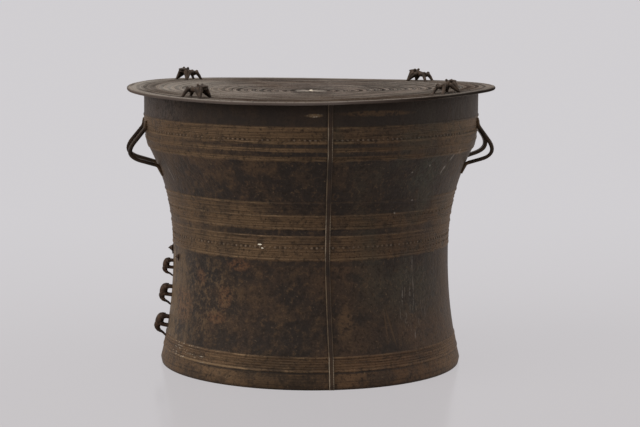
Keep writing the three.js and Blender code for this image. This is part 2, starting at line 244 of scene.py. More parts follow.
# Figures. A frog is modelled in millimetres, elephants and snails in shares of their length.
# Those on the wall have a bearing, a height and a length.
FROGS = ("left_rear", "left_front", "right_front", "right_rear")
FROG_SCALE = 0.001
FROG_GRAIN = 0.5
TRAIL_BEARING = 178.5
ELEPHANTS = {
    "upper": (TRAIL_BEARING, 0.180, 0.0335), "middle": (TRAIL_BEARING, 0.135, 0.039),
    "lower": (TRAIL_BEARING, 0.0825, 0.0415),
}
ELEPHANT_GRAIN = 0.012
SNAILS = {"upper": (TRAIL_BEARING, 0.205, 0.018), "side": (193.5, 0.197, 0.013)}
SNAIL_GRAIN = 0.02
SNAIL_TURNS = 2.6
SNAIL_BEADS = 34
WEAR_ROUNDS = 5

# Shine and dust of the bronze
WARM_SHINE = (1.0, 0.76, 0.56, 1.0)
WARM_DUST = (0.9, 0.68, 0.49, 1.0)
DUST = 0.05

# Camera, at the photograph's place
CAMERA_PLACE = (-0.37366, -3.25363, 0.6843)
CAMERA_PITCH = 82.5275
CAMERA_TURN = -6.832
CAMERA_ROLL = 0.25
CAMERA_LENS = 107.25

# Floor and lamps. A lamp has a strength, and a spread, heading and height in degrees.
FLOOR_SIZE = 80.0
FLOOR_FADE = (-1.4, 2.0)
SHADOW_SOFTENED = 0.88
FLOOR_SHINE = 0.12
FLOOR_BLUR = 0.18
LAMPS = {
    "left lamp": (1.3, 50, -160, 35), "top lamp": (1.1, 90, -90, 80), "right lamp": (0.4, 60, -10, 30),
}


def length(description, default):
    """A size property in metres."""
    return bpy.props.FloatProperty(
        description=description, default=default, min=0.0, precision=4, unit="LENGTH"
    )


def tone(description, default):
    """A colour property."""
    return bpy.props.FloatVectorProperty(
        description=description, default=default, size=3, min=0.0, max=1.0, subtype="COLOR"
    )


class DrumSizes(bpy.types.PropertyGroup):
    """Sizes of the drum's pieces"""

    head_radius: length("Axis to the rim of the head", HEAD_HIGH.x)
    head_underside: length("Floor to the underside of the head", HEAD_LOW.z)
    head_thickness: length("Thickness of the head plate", 0.0045)
    wall: length("Thickness of the wall", 0.003)
    foot_radius: length("Axis to the widest part of the foot", 0.2600)
    waist_radius: length("Axis to the narrowest part of the wall", 0.2375)
    shoulder_radius: length("Axis to the wall under the head", 0.286)
    strip_width: length("Width of a seam strip", STRIP_HIGH.x - STRIP_LOW.x)
    strip_thickness: length("Thickness of a seam strip in its groove", 0.0012)
    strip_ridge: length("Relief of the ridges along a seam strip", 0.0012)
    strap_width: length("Width of a strap handle", 0.011)
    strap_thickness: length("Thickness of a strap handle", 0.0058)


class DrumColours(bpy.types.PropertyGroup):
    """Colours of the drum's bronze"""

    # Slate also paints shade on the shoulder, in the dark bands and toward the front of the head.
    slate: tone("Blue-black patina on the plain wall", (0.0145, 0.0122, 0.0118))
    # Umber also paints shade toward the front of the head.
    umber: tone("Brown-black patina on the plain wall", (0.046, 0.0275, 0.0180))
    # Olive also paints light on the wall's left side and sheen near its right outline.
    olive: tone("Rubbed bronze on the bands", (0.080, 0.047, 0.025))
    # Gold also paints light on the wall's left side and sheen near both outlines.
    gold: tone("Bare bronze on the raised lines", (0.180, 0.118, 0.064))
    rust: tone("Red-brown bloom low on the left", (0.115, 0.050, 0.024))
    verdigris: tone("Faint green bloom", (0.026, 0.034, 0.027))
    # Chalk also paints highlights: sheen on the head's left and right and along the rim's top edge.
    chalk: tone("Pale streaks and worn crests", (0.30, 0.265, 0.23))
    # Cream also paints highlights: on the star's boss and as glints on the foot band.
    cream: tone("Bare bright metal of the star and the scratches", (0.80, 0.72, 0.58))
    # Ash also paints sheen near the wall's far-left outline and light on the front of the rim's side
    # face.
    ash: tone("Grey-brown of the head", (0.110, 0.085, 0.073))
    # Soot also paints shade: under the rim, along the foot's bottom edge, in the figures' hollows and
    # on the right of the rim's side face.
    soot: tone("Near-black of the handles and figures", (0.0085, 0.0062, 0.0050))


class DrumStage(bpy.types.PropertyGroup):
    """Floor and light around the drum"""

    floor: tone("Colour of the floor in front", (0.567, 0.543, 0.553))
    backdrop: tone("Colour of the floor behind the drum", (0.648, 0.632, 0.652))
    sky: bpy.props.FloatProperty(description="Strength of the light from all round", default=0.40)


# Modelling steps


def deselect_all():
    """Leaves edit mode with nothing selected."""
    if bpy.context.object and bpy.context.object.mode != "OBJECT":
        bpy.ops.object.mode_set(mode="OBJECT")
    bpy.ops.object.select_all(action="DESELECT")


def choose(piece):
    """Makes one piece the only selected and active one."""
    deselect_all()
    piece.select_set(True)
    bpy.context.view_layer.objects.active = piece


def start_piece(name):
    """New mesh object at the origin, empty and in edit mode."""
    deselect_all()
    bpy.ops.mesh.primitive_plane_add(size=SEED_SIZE)
    piece = bpy.context.object
    piece.name = name
    piece.data.name = name
    bpy.ops.object.mode_set(mode="EDIT")
    bpy.ops.mesh.delete(type="VERT")
    return piece


def pick(piece, test):
    """Selects the vertices whose place passes the test, in edit mode."""
    mesh = bmesh.from_edit_mesh(piece.data)
    for vertex in mesh.verts:
        vertex.select_set(test(vertex.co))
    mesh.select_flush(False)
    mesh.select_flush(True)
    bmesh.update_edit_mesh(piece.data)


def extrude(step):
    """Pushes what is selected out by a step, in edit mode."""
    bpy.ops.mesh.extrude_region_move(TRANSFORM_OT_translate={"value": step})


def draw(points):
    """Draws a closed line from point to point by extruding one vertex, in edit mode."""
    bpy.ops.mesh.primitive_plane_add(size=SEED_SIZE)
    bpy.ops.mesh.merge(type="CENTER")
    bpy.ops.transform.translate(value=points[0])
    for here, there in zip(points, points[1:]):
        extrude(there - here)
    ends = (points[0], points[-1])
    pick(bpy.context.object, lambda place: min((place - end).length for end in ends) < TOUCHING)
    bpy.ops.mesh.edge_face_add()
    bpy.ops.mesh.select_linked()


def spin(steps, angle, copies=False):
    """Turns the selection about the drum's axis, counter-clockwise from above."""
    bpy.ops.mesh.spin(steps=steps, dupli=copies, angle=-angle, center=(0, 0, 0), axis=(0, 0, 1))


def close_up():
    """Merges shared corners and points every face outwards."""
    bpy.ops.mesh.select_all(action="SELECT")
    bpy.ops.mesh.remove_doubles(threshold=TOUCHING)
    bpy.ops.mesh.normals_make_consistent(inside=False)


def sweep(outline, line, headings, scales):
    """Draws an outline of (across, out) points at the start of a line in XZ and extrudes it along."""
    ahead = headings[0]
    out = Vector((math.sin(ahead), 0.0, -math.cos(ahead)))
    draw([line[0] + scales[0] * (Vector((0.0, y, 0.0)) + reach * out) for y, reach in outline])
    bpy.ops.mesh.edge_face_add()
    for i in range(1, len(line)):
        extrude(line[i] - line[i - 1])
        bpy.ops.transform.rotate(
            value=headings[i] - headings[i - 1], orient_axis="Y", center_override=line[i]
        )
        bpy.ops.transform.resize(value=[scales[i] / scales[i - 1]] * 3, center_override=line[i])
    close_up()


def lump(place, size, rotation=(0, 0, 0), sides=20, rings=12):
    """Adds a stretched ball to the mesh being edited."""
    bpy.ops.mesh.primitive_uv_sphere_add(
        segments=sides, ring_count=rings, radius=1, location=place, rotation=rotation, scale=size
    )


def bead(place, size, rotation=(0, 0, 0)):
    """Adds a small ball of few faces to the mesh being edited."""
    lump(place, size, rotation, sides=8, rings=5)


def lozenge(place, size):
    """Adds a low four-sided stud to the mesh being edited."""
    bpy.ops.mesh.primitive_cone_add(
        vertices=4, radius1=1, radius2=LOZENGE_TOP, depth=2,
        location=place, scale=(*size, MOTIF_RELIEF),
    )


def limb(*joints):
    """Adds a round limb through joints of (x, y, z, radius) to the mesh being edited."""
    for *place, radius in joints:
        lump(place, (radius, radius, radius))
    for (*low, low_radius), (*high, high_radius) in zip(joints, joints[1:]):
        along = Vector(high) - Vector(low)
        bpy.ops.mesh.primitive_cone_add(
            vertices=20, radius1=low_radius, radius2=high_radius, depth=along.length,
            location=(Vector(low) + Vector(high)) / 2,
            rotation=along.to_track_quat("Z", "Y").to_euler(),
        )


def apply_modifier(piece, kind, **settings):
    """Adds a modifier with these settings and applies it."""
    choose(piece)
    bpy.ops.object.modifier_add(type=kind)
    modifier = piece.modifiers[-1]
    for name, value in settings.items():
        setattr(modifier, name, value)
    bpy.ops.object.modifier_apply(modifier=modifier.name)


def join(piece, trims):
    """Joins trims into a piece."""
    choose(piece)
    for trim in trims:
        trim.select_set(True)
    bpy.ops.object.join()


def head_top(sizes):
    """Height of the head's upper face."""
    return sizes.head_underside + sizes.head_thickness


def settle(piece, sizes):
    """Bends a piece with a cage that is dished, higher at its two sides, twisted and tilted."""
    top = head_top(sizes)
    tall = top - SETTLE_FROM
    deselect_all()
    bpy.ops.object.add(type="LATTICE", location=(0, 0, (top + SETTLE_FROM) / 2))
    cage = bpy.context.object
    cage.data.points_u = CAGE_POINTS
    cage.data.points_v = CAGE_POINTS
    cage.data.interpolation_type_u = "KEY_CATMULL_ROM"
    cage.data.interpolation_type_v = "KEY_CATMULL_ROM"
    cage.data.interpolation_type_w = "KEY_LINEAR"
    reach = max(point.co.x for point in cage.data.points)
    cage.scale = (sizes.head_radius / reach, sizes.head_radius / reach, tall)
    for point in cage.data.points:
        if point.co.z > 0:
            x, y = point.co.x / reach, point.co.y / reach
            rise = (SIDE_RISE + MIDDLE_SAG) * x * x - MIDDLE_SAG
            rise -= DISH * max(0.0, 1 - 2 * (x * x + y * y))
            point.co_deform.z += (rise - TWIST * x * y + TILT * x) / tall
    apply_modifier(piece, "LATTICE", object=cage)
    bpy.data.objects.remove(cage)


def roughen(piece, depth, spread, direction):
    """Gives a cast surface its slight unevenness."""
    clouds = bpy.data.textures.new(f"{piece.name} unevenness", "CLOUDS")
    clouds.noise_scale = spread
    apply_modifier(
        piece, "DISPLACE", texture=clouds, texture_coords="LOCAL", strength=depth,
        mid_level=0.5, direction=direction,
    )


def set_down(piece, matrix):
    """Moves a piece by a matrix and puts its place into its mesh."""
    choose(piece)
    piece.matrix_world = matrix
    bpy.ops.object.transform_apply(location=True, rotation=True, scale=True)


def stand(model, name, matrix):
    """Copy of a figure with its own mesh, set down by a matrix."""
    choose(model)
    bpy.ops.object.duplicate(linked=False)
    figure = bpy.context.object
    figure.name = name
    figure.data.name = name
    set_down(figure, matrix)
    return figure


def about_axis(bearing):
    """Turn about the drum's axis to a bearing in degrees."""
    return Matrix.Rotation(math.radians(bearing), 4, "Z")


# Wear, kept on each vertex


def places_of(piece):
    """Places of all vertices as an array."""
    places = np.empty(len(piece.data.vertices) * 3, np.float32)
    piece.data.vertices.foreach_get("co", places)
    return places.reshape(-1, 3).astype(float)


def store_wear(piece, values):
    """Keeps a number for each vertex, from 0 in sheltered places to 1 on rubbed ones."""
    deselect_all()
    store = piece.data.attributes.new("wear", "FLOAT", "POINT")
    store.data.foreach_set("value", np.clip(values, 0.0, 1.0).astype(np.float32))


def wear_on_bulges(piece):
    """Stores wear by how far each vertex of an even mesh stands out from its neighbours."""
    deselect_all()
    places = places_of(piece)
    normals = np.empty(len(places) * 3, np.float32)
    piece.data.vertices.foreach_get("normal", normals)
    ends = np.empty(len(piece.data.edges) * 2, np.int32)
    piece.data.edges.foreach_get("vertices", ends)
    low, high = ends.reshape(-1, 2).T
    degree = np.maximum(np.bincount(ends, minlength=len(places)), 1)

    def around(values):
        total = np.zeros_like(values)
        np.add.at(total, low, values[high])
        np.add.at(total, high, values[low])
        return (total.T / degree).T

    bulge = ((places - around(places)) * normals.reshape(-1, 3)).sum(axis=1)
    for _ in range(WEAR_ROUNDS):
        bulge = around(bulge)
    store_wear(piece, 0.5 + bulge / (4.0 * bulge.std()))


def fuse(piece, grain, softness):
    """Melts the lumps of a figure into one skin of evenly spaced faces and stores its wear."""
    apply_modifier(piece, "REMESH", mode="VOXEL", voxel_size=grain)
    apply_modifier(piece, "SMOOTH", factor=0.5, iterations=softness)
    wear_on_bulges(piece)
    return piece


def hand_over(piece, node, slot):
    """Gives a piece the finish of its slot and lets it stand for its CAD node."""
    paint, shine, dust, crease = FINISHES[slot]
    choose(piece)
    bpy.ops.object.shade_smooth_by_angle(angle=math.radians(crease))
    piece.data.materials.clear()
    piece.data.materials.append(make_finish(slot.replace("_", " "), paint, shine, dust))
    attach(piece, BODY)
    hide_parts(node)


# Shader nodes


class Signal:
    """A socket of a node tree. Arithmetic on it adds Math nodes, and node() adds any other node."""

    def __init__(self, tree, socket=None):
        self.tree = tree
        self.socket = socket

    def node(self, kind, sockets, output=0, **settings):
        """Adds a node of a kind, sets it up, then sets or links its sockets."""
        made = self.tree.nodes.new(f"ShaderNode{kind}")
        for name, value in settings.items():
            setattr(made, name, value)
        for name, value in sockets.items():
            if isinstance(value, Signal):
                self.tree.links.new(value.socket, made.inputs[name])
            else:
                made.inputs[name].default_value = value
        return Signal(self.tree, made.outputs[output] if made.outputs else None)

    def math(self, operation, first, second):
        """Adds a Math node."""
        return self.node("Math", {0: first, 1: second}, operation=operation)

    def __add__(self, other):
        return self.math("ADD", self, other)

    def __sub__(self, other):
        return self.math("SUBTRACT", self, other)

    def __rsub__(self, other):
        return self.math("SUBTRACT", other, self)

    def __mul__(self, other):
        return self.math("MULTIPLY", self, other)

    __radd__ = __add__
    __rmul__ = __mul__

    def rise(self, low, high):
        """0 below low, 1 above high and a smooth rise between, or a fall where low is above high."""
        sockets = {"Value": self, "From Min": low, "From Max": high}
        return self.node("MapRange", sockets, interpolation_type="SMOOTHSTEP")

    def within(self, low, high, soft):
        """1 between two values and 0 outside them."""
        return self.rise(low - soft, low + soft) * self.rise(high + soft, high - soft)

    def noise(self, scale, detail, roughness=0.55, stretch=None):
        """Noise over a place, from 0 to 1."""
        place = self
        if stretch:
            place = self.node("Mapping", {"Vector": self, "Scale": stretch})
        sockets = {"Vector": place, "Scale": scale, "Detail": detail, "Roughness": roughness}
        return self.node("TexNoise", sockets)

    def mix(self, share, first, second):
        """The first colour turning into the second one by a share."""
        first, second = (end if isinstance(end, Signal) else (*end, 1.0) for end in (first, second))
        return self.node("Mix", {0: share, 6: first, 7: second}, 2, data_type="RGBA")

    def layered(self, colour, layers):
        """A colour with layers of (colour, share) laid over it, one after the other."""
        for over, share in layers:
            colour = self.mix(share, colour, over)
        return colour


def clear_tree(owner):
    """Signal that starts the emptied node tree of a material or a world."""
    owner.use_nodes = True
    owner.node_tree.nodes.clear()
    return Signal(owner.node_tree)


def coordinates(start):
    """Place on the piece, its three parts and the stored wear."""
    place = start.node("TexCoord", {}, "Object")
    parts = [start.node("SeparateXYZ", {"Vector": place}, axis) for axis in "XYZ"]
    wear = start.node("Attribute", {}, "Fac", attribute_name="wear")
    return place, *parts, wear


def toward(x, y, bearing, radius):
    """How far a place lies towards a bearing in degrees, as a share of a radius."""
    angle = math.radians(bearing)
    return x * (math.cos(angle) / radius) + y * (math.sin(angle) / radius)


def make_finish(name, paint, shine, dust):
    """Material whose paint function gives base colour, roughness, metallic and height in metres."""
    found = bpy.data.materials.get(name)
    if found:
        return found
    material = bpy.data.materials.new(name)
    start = clear_tree(material)
    colour, roughness, metallic, height = paint(start, bpy.context.scene.drum_colours)
    normal = start.node("Bump", {"Strength": 1.0, "Distance": 1.0, "Height": height})
    surface = start.node("BsdfPrincipled", {
        "Base Color": colour, "Roughness": roughness, "Metallic": metallic, "Normal": normal,
        "Specular IOR Level": shine, "Specular Tint": WARM_SHINE,
        "Sheen Weight": dust, "Sheen Tint": WARM_DUST,
    })
    start.node("OutputMaterial", {"Surface": surface})
    return material


def mark(x, y, z, spot, soft):
    """1 in an oval on the wall, given by its bearing, height, half width, half height and lean."""
    bearing, level, half_width, half_height, lean = spot
    angle = math.radians(bearing)
    up = z - level
    across = y * math.cos(angle) - x * math.sin(angle) + up * lean
    wide, tall = across * (1 / half_width), up * (1 / half_height)
    facing = toward(x, y, bearing, 0.24).rise(0.5, 0.6)
    return (wide * wide + tall * tall).rise(1 + soft / 2, 1 - soft) * facing


def wall_paint(start, hue):
    """Dark patina in blotches and runs, rubbed bands, bare broken lines, local blooms and marks, with
    painted light and shade: lighter and more golden to the left, painted sheen near both outlines,
    painted glints on the foot band, and painted shade on the shoulder, under the rim, in the dark
    bands and along the foot's bottom edge.
    """
    place, x, y, z, wear = coordinates(start)

    def facing(bearing, radius=0.25):
        return toward(x, y, bearing, radius)

    def marks(soft, *spots):
        return sum(mark(x, y, z, spot, soft) for spot in spots)

    broad = place.noise(7.0, 5.0, 0.6)
    patches = place.noise(30.0, 6.0, 0.65)
    mottle = place.noise(120.0, 4.0, 0.7)
    specks = place.noise(260.0, 3.0, 0.6)
    grain = place.noise(1100.0, 2.0)
    runs = place.noise(1.0, 5.0, 0.6, stretch=(110, 110, 9))
    streaks = place.noise(1.0, 4.0, 0.6, stretch=(340, 340, 11))
    hoops = place.noise(1.0, 4.0, stretch=(9, 9, 380))
    breaks = place.noise(1.0, 4.0, 0.6, stretch=(40, 40, 330))
    chance = place.noise(1.0, 2.0, stretch=(75, 75, 40)).rise(0.42, 0.60)

    # Toward the left the bands, lines and patches are painted lighter and more golden: painted light
    # from the left.
    left = facing(200).rise(-0.3, 0.9)
    # Near the far-left outline the wall carries a painted sheen: gold low down and on the bands, ash
    # on the shoulder, and darker paint at mid height.
    edge = facing(171).rise(0.70, 0.92)
    # Near the right outline the wall carries a painted sheen, olive on the wall and gold on the bands.
    right_edge_sheen = facing(-3).rise(0.72, 0.95)
    # The front carries painted shade, in the dark bands and under the rim.
    front = (facing(260, 0.27) - 0.18 * z.rise(0.30, 0.38)).rise(0.55, 0.90)
    height = z + (patches - 0.5) * 0.006
    shoulder = height.rise(0.427, 0.433)
    foot = height.rise(0.0275, 0.0245)
    gone = z.within(*SIDE_BAND, 0.0012) * facing(282, 0.242).rise(0.78, 0.90)
    band = sum(height.within(*zone, 0.0012) for zone in (*WORN_BANDS, SIDE_BAND)) * (1 - gone)
    # Dark bands just under raised lines: dark patina with painted shade, strongest on the front.
    dark = sum(height.within(*zone, 0.0010) for zone in DARK_BANDS) * (0.2 + 0.8 * front)
    boss_ground = sum(z.within(*zone, 0.0006) for zone in BOSS_GROUNDS)
    rubbed = band * (1 - dark) * (0.4 + 0.6 * patches.rise(0.34, 0.60)) * (0.6 + 0.4 * left)
    lines = wear.rise(0.35, 0.95) * breaks.rise(0.44, 0.68) * (1 - gone)

    green = facing(-53, 0.24).rise(0.85, 1.0) * broad.rise(0.42, 0.62) * z.rise(0.08, 0.17)
    green = green + marks(0.9, GREEN_PATCH) * mottle.rise(0.40, 0.60)
    pale = marks(0.8, PALE_RUNS) * streaks.rise(0.56, 0.68) * mottle.rise(0.38, 0.52)
    rusty = marks(0.9, *RUST_BLOOMS) * mottle.rise(0.36, 0.58)
    stains = marks(0.8, *OLIVE_PATCHES) * mottle.rise(0.38, 0.58) + marks(0.7, *OLIVE_DRIPS) * 0.6
    glints = facing(208, 0.255).rise(0.965, 0.990) * z.within(0.029, 0.053, 0.001)
    glints = glints * wear.rise(0.2, 0.5) * specks.rise(0.50, 0.60) * breaks.rise(0.50, 0.60)
    bright_line = facing(222, 0.255).rise(0.93, 0.99) * z.within(0.0285, 0.0318, 0.0006)
    scratch = marks(0.9, PALE_SCRATCH)
    scuffs = scratch * specks.rise(0.50, 0.64) * breaks.rise(0.44, 0.58)
    scrapes = marks(0.8, *PALE_LINES) * (0.15 + 0.35 * mottle.rise(0.42, 0.56))
    colour = start.layered(hue.slate, (
        (hue.umber, broad.rise(0.40, 0.68)),
        (hue.umber, runs.rise(0.50, 0.72) * 0.4),
        (hue.olive, left * patches.rise(0.46, 0.66) * 0.5),
        # Painted sheen, gold, low on the far-left outline.
        (hue.gold, edge * z.rise(0.24, 0.20) * runs.rise(0.30, 0.56) * 0.6),
        (hue.slate, patches.rise(0.50, 0.36) * 0.8),
        # Painted sheen near the right outline.
        (hue.olive, right_edge_sheen * runs.rise(0.26, 0.66) * 0.45),
        (hue.olive, rubbed),
        # Gold on the bands: painted light toward the left, painted sheen at the right outline, less
        # near the far-left outline.
        (hue.gold, rubbed * (0.35 * left - 0.15 * edge + 0.6 * right_edge_sheen)),
        (hue.rust, rubbed * (1 - 0.6 * left) * (0.15 + 0.25 * z.rise(0.06, 0.05))),
        (hue.soot, band * hoops.rise(0.50, 0.34) * 0.55),
        # Dark bands: dark patina with painted shade.
        (hue.slate, dark * 0.6),
        (hue.slate, foot * patches.rise(0.54, 0.40) * 0.3),
        # Darker paint over the front of the foot.
        (hue.soot, marks(0.9, DARK_FOOT_PATCH) * 0.55),
        (hue.soot, boss_ground * wear.rise(0.3, 0.1) * (0.15 + 0.65 * chance)),
        # Bare gold on the raised lines, more toward the left as painted light.
        (hue.gold, lines * (0.28 + 0.45 * left)),
        (hue.chalk, boss_ground * wear.rise(0.4, 0.8) * (0.04 + 0.2 * chance)),
        (hue.rust, rusty * (0.3 + 0.45 * specks.rise(0.40, 0.60))),
        (hue.gold, marks(0.9, WARM_PATCH) * mottle.rise(0.48, 0.66) * 0.4),
        (hue.verdigris, green * 0.55),
        (hue.chalk, pale * 0.35),
        (hue.olive, mottle.rise(0.52, 0.70) * (0.3 + 0.25 * left) * (1 - shoulder)),
        (hue.soot, mottle.rise(0.48, 0.32) * 0.6),
        (hue.gold, specks.rise(0.60, 0.76) * 0.4 * (1 - 0.7 * shoulder)),
        (hue.soot, specks.rise(0.45, 0.30) * 0.75),
        # Painted shade on the shoulder under the head.
        (hue.slate, shoulder * 0.6),
        # Darker paint at mid height near the far-left outline, toning its painted sheen down.
        (hue.soot, edge * z.within(0.31, 0.365, 0.01) * 0.35),
        # Painted shadow just under the rim, strongest on the front.
        (hue.soot, z.rise(0.450, 0.463) * (0.2 + 0.4 * front)),
        # Painted sheen on the shoulder near the far-left outline.
        (hue.ash, shoulder * edge * mottle.rise(0.36, 0.62) * 0.3),
        (hue.olive, stains * 0.7),
        (hue.gold, bright_line * wear.rise(0.3, 0.7) * 0.7),
        (hue.gold, scratch * patches.rise(0.35, 0.55) * 0.7),
        (hue.cream, scuffs * 0.6 + glints * 0.6),
        (hue.chalk, scrapes + marks(0.5, *GREY_SPECKS) * 0.45),
        (hue.cream, marks(0.5, *WHITE_SPECKS)),
        # Painted shadow along the foot's bottom edge at the floor.
        (hue.soot, z.rise(0.006, 0.001) * 0.7),
    ))
    roughness = 0.56 + 0.22 * (patches - 0.5) - 0.10 * lines
    metallic = 0.15 + 0.35 * lines + 0.15 * rubbed
    bumps = (grain - 0.5) * 0.0001 + (specks - 0.5) * 0.0005
    bumps = bumps + (mottle - 0.5) * 0.0008 + (patches - 0.5) * 0.0012
    return colour, roughness, metallic, bumps


def head_paint(start, hue):
    """Grey-brown bronze in broken rings with a bright star and a pale rim, and painted light and
    shade: palest to the left, pale to the right, darker to the front, with painted highlights along
    the rim's top edge and on the star's boss.
    """
    place, x, y, z, wear = coordinates(start)
    broad = place.noise(9.0, 4.0)
    patches = place.noise(34.0, 6.0, 0.65)
    specks = place.noise(300.0, 3.0)
    grain = place.noise(1200.0, 2.0)
    square = x * x + y * y
    radius = start.math("SQRT", square, 0.0)
    wobble = radius + (patches - 0.5) * 0.004
    turn = [start.math("DIVIDE", part, radius + 0.02) for part in (x, y)]

    def arcs(pieces, density):
        """Noise in arcs round the middle: more pieces make them shorter, more density thinner."""
        spot = {"X": turn[0] * pieces, "Y": turn[1] * pieces, "Z": wobble * density}
        return start.node("CombineXYZ", spot).noise(1.0, 3.0)

    wide, fine = arcs(1.0, 30.0), arcs(2.2, 110.0)
    pitch = (RING_OUTERMOST - RING_INNERMOST) / RINGS
    off_ring = start.math("PINGPONG", wobble - RING_INNERMOST, pitch / 2)
    ringed = radius.rise(0.310, 0.302) * radius.rise(0.030, 0.040)
    lanes = off_ring.rise(0.15 * pitch, 0.42 * pitch) * ringed
    # Share toward the head's left and right, where the crests carry a painted highlight.
    ends = start.math("DIVIDE", x * x, square + 0.0001).rise(0.2, 0.75)
    pale_rings = wide.rise(0.42, 0.56)
    # Left, front and right: painted sheen to the left and right, painted shade to the front.
    left, front, right = (toward(x, y, bearing, 0.3) for bearing in (185, 248, 325))
    left_sheen = left.rise(0.12, 0.74)
    front_shade = front.rise(0.35, 0.70)
    # Painted highlight along the rim's top edge, fainter to the right.
    rim_highlight = radius.within(0.298, 0.3125, 0.0015)
    crests = wear.rise(0.2, 0.9) * (0.35 + 0.65 * patches.rise(0.35, 0.6))
    star = wear.rise(0.75, 0.95) * radius.rise(STAR_RADIUS + 0.002, STAR_RADIUS)
    # Painted highlight on the star's boss.
    boss_highlight = radius.rise(1.3 * STAR_BOSS, 0.8 * STAR_BOSS)
    # The rim's side face: ash at the front and left, near-black to the right, as painted light and
    # shade.
    rim_edge_light_and_shade = start.mix(0.18 + 0.8 * x.rise(-0.02, 0.18), hue.ash, hue.soot)
    colour = start.layered(hue.slate, (
        (hue.ash, 0.22 + 0.72 * pale_rings),
        # Painted sheen to the left and to the right of the head.
        (hue.chalk, left_sheen * (0.8 + 0.2 * pale_rings)),
        (hue.chalk, right.rise(0.10, 0.60) * 0.2),
        # Painted shade toward the front.
        (hue.umber, front_shade * (1.0 - 0.4 * pale_rings)),
        (hue.slate, front_shade * radius.rise(0.30, 0.26) * 0.32),
        (hue.chalk, rim_highlight * (0.65 - 0.4 * x.rise(0.10, 0.22))),
        (hue.olive, broad.rise(0.50, 0.66) * 0.3),
        (hue.slate, fine.rise(0.50, 0.38) * 0.5),
        (hue.chalk, fine.rise(0.50, 0.64) * 0.35),
        (hue.slate, lanes * (0.3 + 0.3 * patches.rise(0.6, 0.4)) * (1 - 0.5 * left_sheen)),
        # Worn crests, with a painted highlight toward the left and right.
        (hue.chalk, crests * (0.2 + 0.3 * ends)),
        (hue.umber, radius.within(0.262, 0.284, 0.006) * 0.4),
        (hue.chalk, specks.rise(0.58, 0.74) * 0.35),
        (hue.slate, specks.rise(0.45, 0.30) * 0.55),
        (hue.chalk, star * 0.8),
        # Cream on the star, strongest as a painted highlight on its boss.
        (hue.cream, star * (0.1 + 0.6 * boss_highlight)),
        (rim_edge_light_and_shade, radius.rise(0.3139, 0.3147) * 0.9),
    ))
    roughness = 0.50 + 0.25 * (patches - 0.5) - 0.08 * crests
    metallic = (0.05 + 0.15 * pale_rings + 0.40 * crests) * (1 - 0.8 * lanes)
    bumps = (grain - 0.5) * 0.0001 + (specks - 0.5) * 0.0003 + (patches - 0.5) * 0.0006
    return colour, roughness, metallic, bumps


def seam_paint(start, hue):
    """Dark patina like the wall's, with thin rubbed ridges, brightest on the left and in the bands."""
    place, x, y, z, wear = coordinates(start)
    patches = place.noise(45.0, 5.0, 0.6)
    specks = place.noise(260.0, 3.0, 0.6)
    grain = place.noise(900.0, 3.0)
    band = sum(z.within(*zone, 0.002) for zone in WORN_BANDS)
    crests = wear.rise(0.25, 0.65) * (0.4 + 0.6 * patches.rise(0.36, 0.60))
    bare = start.mix(0.08 + 0.14 * band, hue.gold, hue.cream)
    colour = start.layered(hue.slate, (
        (hue.umber, patches.rise(0.35, 0.65) * 0.7),
        (hue.olive, band * 0.2),
        (bare, crests * (0.65 + 0.15 * band)),
        (hue.soot, specks.rise(0.44, 0.28) * 0.6),
    ))
    roughness = 0.5 + 0.2 * (patches - 0.5)
    metallic = 0.2 + 0.3 * crests
    return colour, roughness, metallic, (grain - 0.5) * 0.0002 + (specks - 0.5) * 0.0003


def strap_paint(start, hue):
    """Near-black bronze, rubbed grey along the middle of the strap, partly as a painted highlight, and
    olive on its tabs.
    """
    place, x, y, z, wear = coordinates(start)
    patches = place.noise(70.0, 5.0, 0.6)
    grain = place.noise(1000.0, 3.0)
    reach = start.math("SQRT", x * x + y * y, 0.0) - (z - TAB_LEVEL) * TAB_SLOPE
    tabs = reach.rise(TAB_REACH[1], TAB_REACH[0])
    # Grey along the middle: wear and a painted highlight.
    rubbed = wear.rise(0.3, 0.9) * (0.3 + 0.6 * patches.rise(0.4, 0.65))
    colour = start.layered(hue.soot, (
        (hue.umber, patches.rise(0.4, 0.7) * 0.5),
        (hue.ash, rubbed),
        (hue.olive, tabs * (0.4 + 0.5 * patches.rise(0.35, 0.65))),
    ))
    roughness = 0.42 + 0.2 * (patches - 0.5)
    metallic = 0.2 + 0.4 * rubbed
    return colour, roughness, metallic, (grain - 0.5) * 0.00018


def figure_paint(start, hue):
    """Near-black bronze: olive-grey on the rubbed frogs, red-brown on the figures down the wall, with
    painted shade in the hollows.
    """
    place, x, y, z, wear = coordinates(start)
    patches = place.noise(120.0, 5.0, 0.6)
    grain = place.noise(900.0, 3.0)
    high = z.rise(0.30, 0.40)
    rubbed = wear.rise(0.45, 0.90) * (0.4 + 0.6 * patches.rise(0.40, 0.60))
    colour = start.layered(hue.soot, (
        (hue.umber, patches.rise(0.40, 0.65) * 0.4),
        (hue.rust, (1 - high) * (0.1 + 0.2 * patches.rise(0.40, 0.60))),
        (hue.olive, high * patches.rise(0.42, 0.62) * 0.35),
        (hue.ash, rubbed * (0.2 + 0.25 * high)),
        # Painted shade in the hollows.
        (hue.soot, wear.rise(0.55, 0.32) * 0.95),
    ))
    roughness = 0.5 + 0.2 * (patches - 0.5)
    metallic = 0.2 + 0.3 * rubbed
    return colour, roughness, metallic, (grain - 0.5) * 0.0003


# Finish of each slot: paint, shine, dust, and the angle in degrees from which an edge stays sharp
FINISHES = {
    "head_bronze": (head_paint, 0.0, 0.0, 40),
    "wall_bronze": (wall_paint, 0.25, DUST, 40),
    "seam_bronze": (seam_paint, 0.3, DUST, 40),
    "strap_bronze": (strap_paint, 0.3, DUST, 50),
    "figure_bronze": (figure_paint, 0.3, DUST, 80),
}


# Pieces


